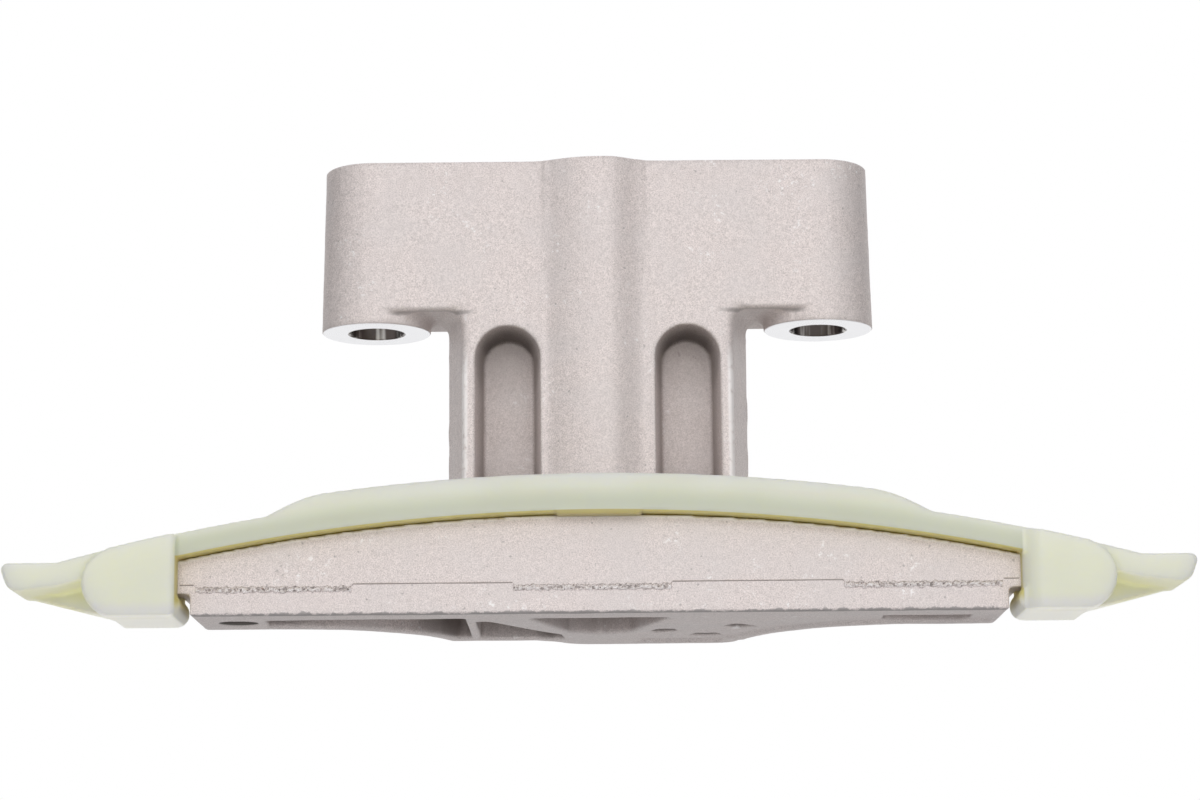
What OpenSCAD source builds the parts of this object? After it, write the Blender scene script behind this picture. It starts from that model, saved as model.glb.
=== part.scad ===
// Timing chain guide: a cast bracket with two bolt bosses carries a moulded slider shoe.
// Millimetres. X runs along the chain, +Y runs from the chain side to the back, +Z points at the engine face.
// The origin lies on the mounting face, midway between the two bolt bores.

/* [Bolt bosses] */
// Distance between the two bolt bores
bolt_spacing = 70; // [66:0.5:80]
// Diameter of each bolt bore
bore_d = 8.5; // [6:0.1:10]
// Diameter of each boss at the mounting face
boss_d = 16.2; // [15:0.1:18]
// Length of each boss from the mounting face to the machined bolt seat
boss_len = 26; // [22:0.5:32]
// Growth of the boss radius over its length, the draft of the casting
boss_flare = 0.5; // [0.2:0.05:0.8]

/* [Head and stem] */
// Height of the plate between the bosses
head_h = 24; // [20:0.5:30]
// Width of the stem at its parting line
stem_w = 47.3; // [44:0.1:50]
// Width of the raised column where it leaves the stem
column_w = 15.6; // [15:0.2:17.6]
// Width of the flat crest of the column
column_crest_w = 6; // [3:0.5:9]
// Distance of the column from the middle of the stem, towards -X
column_shift = 0.4; // [0:0.1:0.9]
// Height of the column over the front of the stem
column_rise = 2.7; // [1.5:0.1:4]
// Distance from the bolt line back to the parting line of the stem
parting_y = 2.4; // [1:0.1:3]
// Slope of the stem's sides, from the parting line to the front and to the back, in degrees
stem_draft = 13.8; // [8:0.2:15]
// Radius of the stem's upright edges
stem_edge_r = 0.8; // [0.4:0.1:1.5]

/* [Stem pockets] */
// Width of each pocket at its mouth
pocket_w = 10.2; // [8:0.2:11]
// Distance from the middle of the stem to the middle of each pocket
pocket_x = 14; // [13.6:0.1:15]
// Depth of each pocket
pocket_depth = 7.4; // [5:0.2:9]
// Distance from the mounting face to the top of each pocket
pocket_top = 26.5; // [25:0.5:30]
// Narrowing of each pocket from its mouth to its floor, on every side
pocket_taper = 1.1; // [0.5:0.1:1.5]

/* [Foot] */
// Distance from the mounting face to the underside of the foot
overall_h = 74.7; // [70:0.5:84]
// Length of the foot between its two end notches
foot_len = 119; // [116:0.5:124]
// Distance from the bolt line to the front face of the foot
foot_reach = 34; // [32:0.5:38]
// Depth of the foot at its ends
foot_end_depth = 18.3; // [16.5:0.1:19]
// Height of the foot at its middle
foot_h = 14.5; // [13.5:0.25:16]
// Radius of the foot's curved top
foot_r = 300; // [280:5:400]
// Height of the notch under each end of the foot
notch_h = 3.3; // [2.8:0.1:3.8]
// Length of the full-depth ledge over each notch
ledge_len = 1.8; // [1:0.1:2]
// Length of the narrow nose past each ledge
nose_len = 7.6; // [6:0.1:8]
// Depth of each nose, from the front face of the foot
nose_depth = 5; // [4:0.25:5.5]

/* [Foot underside] */
// Width of the rim along the front of the underside
front_rim = 6.8; // [5:0.2:8]
// Width of the rim along the back of the underside
rear_rim = 2.6; // [2:0.1:3.5]
// Depth of the main pockets in the underside
core_depth = 7; // [4:0.5:8]
// Depth of the shallow relief beside the right brace
relief_depth = 0.5; // [0.3:0.1:1]
// Diameter of the blind hole near the left end
blind_hole_d = 5.7; // [4:0.1:7]
// Depth of the blind hole and of the small slots
slot_depth = 4; // [2:0.25:5]

/* [Slider] */
// Width of the slider across the chain
slider_w = 12; // [11:0.25:14]
// Thickness of the slider under the chain
slider_t = 3.4; // [2.6:0.1:4]
// Overhang of the slider in front of the foot
slider_overhang = 3; // [2:0.25:4]
// Overall length of the slider
slider_len = 173.1; // [171:0.1:180]
// Height of the side lips over the running surface
lip_h = 2.15; // [1:0.05:3]
// Thickness of each side lip
lip_t = 1.8; // [1.2:0.1:2.4]
// Length of the side lips, between the feet of their ramps
lip_len = 96.6; // [80:0.5:104]
// Length of the ramp at each end of a lip
lip_ramp = 8.8; // [6:0.2:12]

/* [Slider clips] */
// Thickness of each front tab, in front of the foot
tab_t = 4.2; // [3.4:0.1:5]
// Width of each front tab
tab_w = 13.5; // [12:0.25:14]
// Drop of each front tab under the foot's underside
tab_drop = 0.5; // [0.2:0.1:1]
// Thickness of each hook under the end of the foot
hook_t = 4; // [3.4:0.1:4.6]
// Gap between the nose of a hook and the foot
hook_gap = 1.1; // [0.6:0.1:1.6]
// Length of the flat lead-in at each tip
lead_len = 8; // [6:0.25:9]
// Thickness of the slider at its tips
lead_t = 4.15; // [3.6:0.05:4.8]
// Clearance between the slider and the curved top of the foot
fit = 0.08; // [0.04:0.01:0.2]

/* [Hidden] */
$fn = 96;
// Facets of the wide arcs of the foot and the slider
wide_fn = 720;
// Facets of a circle inside a hull
hull_fn = 32;

// Length by which a cut passes the face that it opens
overrun = 1;
// Thickness of a thin slice that a pocket's floor or a tip's root is drawn as
slice = 0.01;

half_spacing = bolt_spacing / 2;
boss_r = boss_d / 2;
seat_r = boss_r + boss_flare;
// Narrow chamfer around each machined bolt seat
seat_chamfer = 0.35;
// Rounding of the lower edges of the head
head_edge_r = 0.7;
// Blends under the head, beside each boss and beside the stem
boss_blend_r = 1.6;
stem_blend_r = 2.2;
// Distance by which the blends beside the bosses stop short of the head's rounded edges
boss_blend_setback = 0.4;
// Length by which each blend reaches into the metal that it joins
blend_root = 0.5;
// Half depth of the head where its rounding starts, which is the stem's too
stem_half_d = boss_r + boss_flare * (head_h - head_edge_r) / boss_len;
stem_half_w = stem_w / 2;
column_half_w = column_w / 2;
crest_half_w = column_crest_w / 2;
// Number of steps along each flank of the column and each lip ramp
flank_steps = 12;

foot_bottom = -overall_h;
foot_top = foot_bottom + foot_h;
foot_front = -foot_reach;
foot_back = stem_half_d;
foot_end_back = foot_front + foot_end_depth;
half_foot = foot_len / 2;
notch_z = foot_bottom + notch_h;
ledge_x = half_foot + ledge_len;
nose_x = ledge_x + nose_len;
nose_back = foot_front + nose_depth;
// Rounding in the inner corner of each notch
notch_r = 0.9;
// The stem reaches down into the foot to this height
stem_root = foot_bottom + foot_h / 2;
// Rounding in the lower corners of the stem pockets, and their distance over the foot
pocket_corner_r = 2;
pocket_foot_gap = 3;
pocket_floor = foot_top + pocket_foot_gap;

// Sweeps that join the slim ends of the foot to its deep middle, as seen from below
sweep_r = 26;
// Distance by which the sweeps end inside the sides of the stem
sweep_tuck = 1.65;
sweep_x = stem_half_w - sweep_tuck;
back_corner_r = 4.4;
// The left half of the deep middle is shallower by this step, and the slope that leads to it
step_depth = 6.3;
step_back = foot_back - step_depth;
step_x = -6.5;
step_run = 4;

// Radius of the slider's underside and of its running surface, about the foot's own centre
bed_r = foot_r + fit;
run_r = bed_r + slider_t;
arc_centre = foot_top - foot_r;
half_slider = slider_len / 2;
lead_x = half_slider - lead_len;
lip_crest_x = lip_len / 2 - lip_ramp;
slider_front = foot_front - slider_overhang;
slider_back = slider_front + slider_w;
tab_front = foot_front - tab_t;
// Inner edge of each tab, past the ledge of the foot
tab_x = ledge_x - fit;
tab_bottom = foot_bottom - tab_drop;
// Rounded outer edge of each tab: a shoulder above and a smaller heel below
shoulder_r = 5;
heel_r = 3.6;
heel_inset = 1;
// Rounding of the inner lower corner of each tab
tab_corner_r = 1.2;
// Rounding of the inner upright edge of the left and of the right tab
left_tab_edge_r = 0.9;
right_tab_edge_r = 3.2;
hook_bottom = notch_z - hook_t;
hook_nose_x = half_foot + hook_gap;
// Wall that closes each clip outside the nose of the foot
end_wall = 1.4;
clip_x = nose_x + fit + end_wall;
// Rounding of the upper and lower corner of each tip
tip_top_r = 1;
tip_heel_r = 2;
// Distance from the tip to the outer end of the web
web_inset = 3;
// Height of the web's lower edge over the hook's underside, where the two meet
web_step = 0.8;
// Locating key under the middle of the slider
key_w = 12;
key_len = 9;
key_h = 0.35;

// Height of an arc about the foot's centre, at a distance x from the middle
function arc_z(r, x) = arc_centre + sqrt(r * r - x * x);

// Share of the column's height at a distance x from its middle
function crest_share(x) =
    abs(x) <= crest_half_w ? 1
    : (1 + cos(180 * (abs(x) - crest_half_w) / (column_half_w - crest_half_w))) / 2;

// Share of the lip's height at a distance x from its middle
function lip_share(x) =
    abs(x) <= lip_crest_x ? 1 : cos(90 * (abs(x) - lip_crest_x) / lip_ramp);

// Evenly spaced places from a to b
function spread(a, b, steps) = [for (i = [0:steps]) a + (b - a) * i / steps];

// Draws a profile of X and Z as a solid that runs back from one depth to another
module across(front, back) {
    translate([0, back, 0])
        rotate([90, 0, 0])
            linear_extrude(back - front) children();
}

// Draws what a profile of X and Y covers between two heights
module upright(bottom, top) {
    translate([0, 0, bottom])
        linear_extrude(top - bottom) children();
}

// Puts a copy on each side of the middle
module both_sides() {
    children();
    mirror([1, 0, 0]) children();
}

// Rectangle between two corners
module span(x0, y0, x1, y1) {
    translate([x0, y0]) square([x1 - x0, y1 - y0]);
}

// Rectangle between two corners with four rounded corners
module round_span(x0, y0, x1, y1, r) {
    span(x0 + r, y0, x1 - r, y1);
    span(x0, y0 + r, x1, y1 - r);
    for (x = [x0 + r, x1 - r], y = [y0 + r, y1 - r])
        translate([x, y]) circle(r);
}

// Concave blend that fills the corner at the origin, towards +X and +Y, and roots in both sides
module corner_blend(r) {
    difference() {
        span(-blend_root, -blend_root, r, r);
        translate([r, r]) circle(r);
    }
}

// Side profile of the head: drafted faces and rounded lower edges
module head_profile() {
    polygon([
        [-boss_r, 0], [boss_r, 0],
        [stem_half_d, head_edge_r - head_h], [-stem_half_d, head_edge_r - head_h]
    ]);
    span(head_edge_r - stem_half_d, -head_h, stem_half_d - head_edge_r, head_edge_r - head_h);
    for (side = [-1, 1])
        translate([side * (stem_half_d - head_edge_r), head_edge_r - head_h]) circle(head_edge_r);
}

// Plate between the two bosses
module head_plate() {
    translate([-half_spacing, 0, 0])
        rotate([90, 0, 90])
            linear_extrude(bolt_spacing) head_profile();
}

// The two drafted bosses, each with a narrow chamfer around its machined seat
module bosses() {
    both_sides()
        translate([half_spacing, 0, seat_chamfer - boss_len]) {
            cylinder(h = boss_len - seat_chamfer, r1 = seat_r, r2 = boss_r);
            mirror([0, 0, 1]) cylinder(h = seat_chamfer, r1 = seat_r, r2 = seat_r - seat_chamfer);
        }
}

// Blends between the head's underside and the inner side of each boss
module boss_blends() {
    blend_half_d = stem_half_d - head_edge_r - boss_blend_setback;
    intersection() {
        both_sides()
            translate([half_spacing, 0, -head_h])
                rotate_extrude()
                    translate([boss_r + boss_flare * head_h / boss_len, 0])
                        mirror([0, 1]) corner_blend(boss_blend_r);
        across(-blend_half_d, blend_half_d)
            span(-half_spacing, -boss_len, half_spacing, blend_root - head_h);
    }
}

// Plan of the stem: rounded upright edges and the raised column in front
module stem_plan() {
    translate([0, parting_y]) {
        drafted_plan(stem_half_d - parting_y);
        mirror([0, 1]) drafted_plan(stem_half_d + parting_y);
    }
    column_plan();
}

// Plan of the stem on one side of its parting line, which lies along X
module drafted_plan(depth) {
    centre_x = stem_half_w - depth * tan(stem_draft)
        - stem_edge_r * (1 - sin(stem_draft)) / cos(stem_draft);
    side_x = centre_x + stem_edge_r * cos(stem_draft);
    side_y = depth - stem_edge_r + stem_edge_r * sin(stem_draft);
    polygon([
        [-stem_half_w, 0], [stem_half_w, 0], [side_x, side_y],
        [centre_x, depth], [-centre_x, depth], [-side_x, side_y]
    ]);
    for (x = [-centre_x, centre_x])
        translate([x, depth - stem_edge_r]) circle(stem_edge_r);
}

// Plan of the column, a smooth swell of the front face
module column_plan() {
    flank = spread(crest_half_w, column_half_w, flank_steps);
    crest_line = concat([for (i = [flank_steps:-1:0]) -flank[i]], flank);
    translate([-column_shift, 0])
        polygon(concat(
            [for (x = crest_line) [x, -stem_half_d - column_rise * crest_share(x)]],
            [[column_half_w, 0], [-column_half_w, 0]]
        ));
}

// Blends between the head's underside and the two sides of the stem
module stem_blends() {
    blend_half_d = stem_half_d - head_edge_r;
    both_sides()
        translate([stem_half_w, parting_y, -head_h]) {
            drafted_blend(blend_half_d - parting_y);
            mirror([0, 1, 0]) drafted_blend(blend_half_d + parting_y);
        }
}

// Blend along the right side of the stem, from the parting line to a depth behind it
module drafted_blend(depth) {
    intersection() {
        rotate(stem_draft)
            across(-stem_blend_r, 2 * depth)
                mirror([0, 1]) corner_blend(stem_blend_r);
        across(0, depth)
            span(-stem_half_w, -stem_blend_r, 2 * stem_blend_r, blend_root);
    }
}

// Outline of a stem pocket at its mouth or, narrowed, at its floor
module pocket_outline(inset) {
    top_r = pocket_w / 2 - inset;
    low_r = pocket_corner_r;
    translate([0, -pocket_top - pocket_w / 2]) circle(top_r, $fn = hull_fn);
    for (side = [-1, 1])
        translate([side * (top_r - low_r), pocket_floor + inset + low_r]) circle(low_r, $fn = hull_fn);
}

// One blind pocket in the front of the stem, with drafted walls
module stem_pocket() {
    mouth = -stem_half_d;
    hull() {
        across(mouth - overrun, mouth) pocket_outline(0);
        across(mouth + pocket_depth - slice, mouth + pocket_depth) pocket_outline(pocket_taper);
    }
}

// Front view of the foot: a curved top over the straight underside, and a notch at each end
module foot_profile() {
    intersection() {
        translate([0, arc_centre]) circle(foot_r, $fn = wide_fn);
        union() {
            span(-half_foot, foot_bottom, half_foot, 0);
            span(-ledge_x, notch_z, ledge_x, 0);
            both_sides()
                translate([half_foot, notch_z]) mirror([0, 1]) corner_blend(notch_r);
        }
    }
}

// Front view of the noses at the two ends of the foot
module nose_profile() {
    intersection() {
        translate([0, arc_centre]) circle(foot_r, $fn = wide_fn);
        span(-nose_x, notch_z, nose_x, 0);
    }
}

// Plan of the foot seen from below, with sweeps from its slim ends to its deep middle
module foot_plan() {
    sweep_centre = sweep_x + sweep_r;
    span(-ledge_x, foot_front, ledge_x, foot_end_back);
    span(-sweep_x, foot_front, sweep_x, step_back);
    round_span(step_x, foot_front, sweep_x, foot_back, back_corner_r);
    polygon([
        [step_x - step_run, step_back],
        [step_x + back_corner_r, foot_back],
        [step_x + back_corner_r, foot_front]
    ]);
    difference() {
        span(-sweep_centre, foot_front, sweep_centre, step_back);
        for (side = [-1, 1])
            translate([side * sweep_centre, foot_end_back + sweep_r]) circle(sweep_r);
    }
    difference() {
        span(0, foot_front, sweep_centre, foot_back - back_corner_r);
        translate([sweep_centre, foot_end_back + sweep_r]) circle(sweep_r);
    }
}

// Corners of the brace left of the middle and of the solid middle behind it,
// as shares of half the stem's width and of the foot's full depth
brace_shares = [
    [-0.79, 0.15], [-0.46, 0.15], [-0.27, 0.48], [-0.2, 0.6], [0, 0.67],
    [0, 1], [-0.2, 1], [-0.26, 0.67], [-0.39, 0.56], [-0.54, 0.42]
];
// Corners of the middle pocket's right side, in the same shares
solid_shares = [[0.46, 0.15], [0.27, 0.48], [0.2, 0.6], [0, 0.67], [0, 1]];
// Left edge of the shallow relief, in the same shares
relief_shares = [[0.25, 0.95], [0.25, 0.64], [0.59, 0.33], [0.82, 0.13]];
// Place of the thin rib, as a share of half the stem's width
rib_share = 0.81;
// Left end of the long pocket, and both ends of the right pocket, as shares of half the foot's length
long_pocket_share = 0.83;
right_pocket_shares = [0.71, 0.93];
// Place of the blind hole, as shares of half the foot's length and of its end depth
blind_hole_shares = [-0.9, 0.56];
// Place of the hub beside the right brace, as shares of half the stem's width and of the foot's full depth
hub_shares = [0.69, 0.64];
// Directions of the three slots around the hub, in degrees
hub_slot_angles = [172, 88, -41];
// Width of each slot as an angle about the hub, in degrees
hub_slot_angle = 36;
// Inner and outer radius of the slots around the hub
hub_inner_r = 4.8;
hub_outer_r = 8.4;
// Thickness of the thin rib, and rounding in the corners of the underside's pockets
rib_t = 1.4;
core_r = 1.2;

// Turns shares into a place in the plan of the foot
function foot_place(share) = [share.x * stem_half_w, foot_front + share.y * (foot_back - foot_front)];

// Plan of the underside inside its back rim and behind its front rim
module rimmed_plan() {
    difference() {
        offset(delta = -rear_rim, $fn = hull_fn) foot_plan();
        span(-half_foot, foot_front, half_foot, foot_front + front_rim);
    }
}

// Plan of the three deep pockets left of and at the middle, parted by the thin rib and the brace
module core_plan() {
    rib_x = -rib_share * stem_half_w;
    long_pocket_x = -long_pocket_share * half_foot;
    offset(r = core_r, $fn = hull_fn)
        offset(delta = -core_r)
            difference() {
                rimmed_plan();
                span(-ledge_x, foot_front, long_pocket_x, foot_back);
                span(rib_x - rib_t / 2, foot_front, rib_x + rib_t / 2, foot_back);
                polygon([for (share = brace_shares) foot_place(share)]);
                polygon(concat(
                    [for (share = solid_shares) foot_place(share)],
                    [[half_foot, foot_back], [half_foot, foot_front]]
                ));
            }
}

// Plan of the shallow relief right of the right brace
module relief_plan() {
    offset(r = core_r, $fn = hull_fn)
        offset(delta = -core_r)
            intersection() {
                rimmed_plan();
                polygon(concat(
                    [for (share = relief_shares) foot_place(share)],
                    [[half_foot, foot_front], [half_foot, foot_back]]
                ));
            }
}

// Plan of one curved slot beside the hub
module hub_slot(angle) {
    reach = 2 * hub_outer_r;
    rotate(angle)
        intersection() {
            difference() {
                circle(hub_outer_r);
                circle(hub_inner_r);
            }
            polygon([
                [0, 0],
                [reach, reach * tan(hub_slot_angle / 2)],
                [reach, -reach * tan(hub_slot_angle / 2)]
            ]);
        }
}

// Everything that is cast into the underside of the foot
module underside_cores() {
    low = foot_bottom - overrun;
    upright(low, foot_bottom + core_depth) core_plan();
    upright(low, foot_bottom + relief_depth) relief_plan();
    upright(low, foot_bottom + slot_depth) {
        translate(foot_place(hub_shares))
            for (angle = hub_slot_angles)
                hub_slot(angle);
        round_span(
            right_pocket_shares[0] * half_foot, foot_front + front_rim,
            right_pocket_shares[1] * half_foot, foot_end_back - rear_rim, core_r
        );
    }
    translate([blind_hole_shares.x * half_foot, foot_front + blind_hole_shares.y * foot_end_depth, low])
        cylinder(h = slot_depth + overrun, d = blind_hole_d);
}

// The foot with its end noses, and the groove for the slider's key
module foot() {
    difference() {
        intersection() {
            across(foot_front, foot_back) foot_profile();
            upright(foot_bottom, 0) foot_plan();
        }
        across(foot_front - overrun, slider_front + key_len + fit)
            key_profile(fit);
    }
    across(foot_front, nose_back) nose_profile();
}

// Front view of the slider's key, or of its groove with a clearance
module key_profile(gap) {
    span(-key_w / 2 - gap, foot_top - key_h - gap, key_w / 2 + gap, foot_top + key_h);
}

// The cast bracket
module bracket() {
    color([0.82, 0.78, 0.77])
        difference() {
            union() {
                head_plate();
                bosses();
                boss_blends();
                upright(stem_root, head_edge_r - head_h) stem_plan();
                upright(-head_h, 0) column_plan();
                stem_blends();
                foot();
            }
            both_sides() translate([pocket_x, 0, 0]) stem_pocket();
            both_sides()
                translate([half_spacing, 0, -boss_len - overrun])
                    cylinder(h = boss_len + 2 * overrun, d = bore_d);
            underside_cores();
        }
}

// Front view of the strip that the chain runs on, between its two arcs
module strip_profile() {
    intersection() {
        translate([0, arc_centre])
            difference() {
                circle(run_r, $fn = wide_fn);
                circle(bed_r, $fn = wide_fn);
            }
        span(-lead_x, tab_bottom, lead_x, 0);
    }
}

// Front view of a side lip: it follows the running surface and ramps down at both ends
module lip_profile() {
    ramp = spread(lip_crest_x, lip_crest_x + lip_ramp, flank_steps);
    crest = spread(-lip_crest_x, lip_crest_x, 3 * flank_steps);
    line = concat([for (i = [flank_steps:-1:1]) -ramp[i]], crest, [for (i = [1:flank_steps]) ramp[i]]);
    polygon(concat(
        [for (x = line) [x, arc_z(run_r, x) + lip_h * lip_share(x)]],
        [for (i = [len(line) - 1:-1:0]) [line[i], arc_z(run_r, line[i]) - slider_t / 2]]
    ));
}

// Front view of the flat lead-in at the right tip
module lead_profile() {
    top = arc_z(run_r, lead_x);
    hull() {
        span(lead_x - slice, arc_z(bed_r, lead_x), lead_x, top);
        translate([half_slider - tip_top_r, top - tip_top_r]) circle(tip_top_r, $fn = hull_fn);
        translate([half_slider - tip_heel_r - tip_top_r / 2, top - lead_t + tip_heel_r])
            circle(tip_heel_r, $fn = hull_fn);
    }
}

// Front view of the right tab: straight inside, rounded outside, cut off by the running surface
module tab_profile() {
    outer = tab_x + tab_w;
    intersection() {
        translate([0, arc_centre]) circle(run_r, $fn = wide_fn);
        hull() {
            translate([outer - shoulder_r, tab_bottom + shoulder_r]) circle(shoulder_r, $fn = hull_fn);
            translate([outer - heel_inset - heel_r, tab_bottom + heel_r]) circle(heel_r, $fn = hull_fn);
            translate([tab_x + tab_corner_r, tab_bottom + tab_corner_r]) circle(tab_corner_r, $fn = hull_fn);
            span(tab_x, tab_bottom + tab_corner_r, tab_x + tab_corner_r, foot_top);
        }
    }
}

// Plan of a tab, with its rounded inner edge
module tab_plan(edge_r) {
    outer = tab_x + tab_w;
    translate([tab_x + edge_r, tab_front + edge_r]) circle(edge_r);
    span(tab_x + edge_r, tab_front, outer, foot_front);
    span(tab_x, tab_front + edge_r, outer, foot_front);
}

// A tab in front of the foot
module tab(edge_r) {
    intersection() {
        across(tab_front, foot_front) tab_profile();
        upright(tab_bottom, 0) tab_plan(edge_r);
    }
}

// Front view of the right hook under the end of the foot, with its round nose
module hook_profile() {
    nose_r = hook_t / 2;
    span(hook_nose_x + nose_r, hook_bottom, clip_x, notch_z);
    translate([hook_nose_x + nose_r, hook_bottom + nose_r]) circle(nose_r);
}

// Front view of the right web, from behind the foot's nose to the tip
module web_profile() {
    tip_x = half_slider - web_inset;
    top = arc_z(run_r, lead_x);
    intersection() {
        translate([0, arc_centre]) circle((bed_r + run_r) / 2, $fn = wide_fn);
        polygon([
            [tab_x, notch_z], [tab_x, foot_top], [tip_x, foot_top],
            [tip_x, top - lead_t], [clip_x, hook_bottom + web_step], [clip_x, notch_z]
        ]);
    }
}

// Front view of the wall that closes the right clip outside the foot's nose
module end_wall_profile() {
    intersection() {
        translate([0, arc_centre]) circle((bed_r + run_r) / 2, $fn = wide_fn);
        span(nose_x + fit, hook_bottom, clip_x, foot_top);
    }
}

// Everything at the right end of the slider
module clip(tab_edge_r) {
    tab(tab_edge_r);
    across(slider_front, slider_back) lead_profile();
    across(slider_front, slider_back) hook_profile();
    across(slider_front, slider_back) end_wall_profile();
    across(nose_back + fit, slider_back) web_profile();
}

// The moulded slider shoe
module slider() {
    color([0.87, 0.89, 0.74]) {
        across(slider_front, slider_back) strip_profile();
        across(slider_front, slider_front + lip_t) lip_profile();
        across(slider_back - lip_t, slider_back) lip_profile();
        across(slider_front, slider_front + key_len)
            intersection() {
                key_profile(0);
                translate([0, arc_centre]) circle(run_r, $fn = wide_fn);
            }
        clip(right_tab_edge_r);
        mirror([1, 0, 0]) clip(left_tab_edge_r);
    }
}

bracket();
slider();
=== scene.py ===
# %% [markdown]
# This lesson dresses a timing chain guide: an aluminium bracket, cast in one piece, that carries a
# moulded slider shoe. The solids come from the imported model, in metres and in their final place, so
# nothing is measured twice. Each step says what a surface is on the real object, makes it, and
# prints what it made.

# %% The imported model
import math

import bmesh
import bpy
from mathutils import Matrix, Vector, noise


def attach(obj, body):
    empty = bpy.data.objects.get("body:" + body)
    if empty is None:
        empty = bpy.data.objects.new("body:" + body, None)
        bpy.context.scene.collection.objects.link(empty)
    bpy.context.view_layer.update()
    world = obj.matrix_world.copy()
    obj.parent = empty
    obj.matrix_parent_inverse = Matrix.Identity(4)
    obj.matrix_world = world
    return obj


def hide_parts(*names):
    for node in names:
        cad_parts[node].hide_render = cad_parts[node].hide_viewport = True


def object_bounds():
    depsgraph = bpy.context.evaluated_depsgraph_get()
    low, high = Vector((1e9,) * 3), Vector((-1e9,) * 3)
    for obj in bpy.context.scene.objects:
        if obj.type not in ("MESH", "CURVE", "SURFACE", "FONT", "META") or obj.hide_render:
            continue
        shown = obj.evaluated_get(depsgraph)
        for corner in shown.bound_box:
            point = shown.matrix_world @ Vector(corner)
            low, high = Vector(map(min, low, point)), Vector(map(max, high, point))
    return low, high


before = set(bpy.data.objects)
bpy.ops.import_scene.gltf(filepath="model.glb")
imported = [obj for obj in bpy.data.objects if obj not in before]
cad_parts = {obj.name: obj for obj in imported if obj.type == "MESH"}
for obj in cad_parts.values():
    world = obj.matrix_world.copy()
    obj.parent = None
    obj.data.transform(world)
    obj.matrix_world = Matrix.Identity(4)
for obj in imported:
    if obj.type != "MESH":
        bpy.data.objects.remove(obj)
cad_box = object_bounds()
MM = 0.001
scene = bpy.context.scene
scene.view_settings.view_transform = "Standard"


def mm(*values):
    """Lengths in metres, given in millimetres."""
    return tuple(v * MM for v in values)


print("nodes", sorted(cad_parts))
print("box in mm", [[round(v / MM, 1) for v in corner] for corner in cad_box])

# %% [markdown]
# The guide was photographed from slightly below its own foot, with a long lens, so that the
# underside of the bosses and of the foot just shows. The camera stands half a metre away, looks
# along +Y, is pitched up by eleven degrees and is rolled by half a degree. A lens is easier to
# measure in pixels than in millimetres, so its focal length is worked out from the picture's width.

# %% Camera
PICTURE_WIDTH = 1200
FOCAL_PIXELS = 3130
SENSOR_MM = 36
CAMERA_PLACE = Vector((0.33, -486.0, -128.5)) * MM
CAMERA_PITCH = math.radians(10.675)
CAMERA_ROLL = math.radians(-0.5)

camera_data = bpy.data.cameras.new("camera")
camera_data.sensor_width = SENSOR_MM
camera_data.lens = SENSOR_MM * FOCAL_PIXELS / PICTURE_WIDTH
camera_data.clip_start, camera_data.clip_end = 10 * MM, 20
camera = bpy.data.objects.new("camera", camera_data)
scene.collection.objects.link(camera)
turn = Matrix.Rotation(math.pi / 2 + CAMERA_PITCH, 4, "X") @ Matrix.Rotation(CAMERA_ROLL, 4, "Z")
camera.matrix_world = Matrix.Translation(CAMERA_PLACE) @ turn
scene.camera = camera
print("lens in mm", round(camera_data.lens, 1))


# %% [markdown]
# Shader sums are easier to read as Python expressions than as chains of nodes. A small class holds
# one output socket and turns +, - and * into Math nodes, also where the number stands in front.

# %% A value in a shader
class Value:
    """One output socket of a shader, which can be used in a sum."""

    def __init__(self, paint, socket):
        self.paint, self.socket = paint, socket

    def __add__(self, other):
        return self.paint.maths("ADD", self, other)

    def __sub__(self, other):
        return self.paint.maths("SUBTRACT", self, other)

    def __rsub__(self, other):
        return self.paint.maths("SUBTRACT", other, self)

    def __mul__(self, other):
        return self.paint.maths("MULTIPLY", self, other)

    __radd__, __rmul__ = __add__, __mul__


# %% [markdown]
# Every node is made by one method. It takes the node's type, then its settings, because some of
# them change which sockets a node has, and then the values or links of its sockets. A socket goes
# by its name without spaces, or by its number where several share a name.

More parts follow.
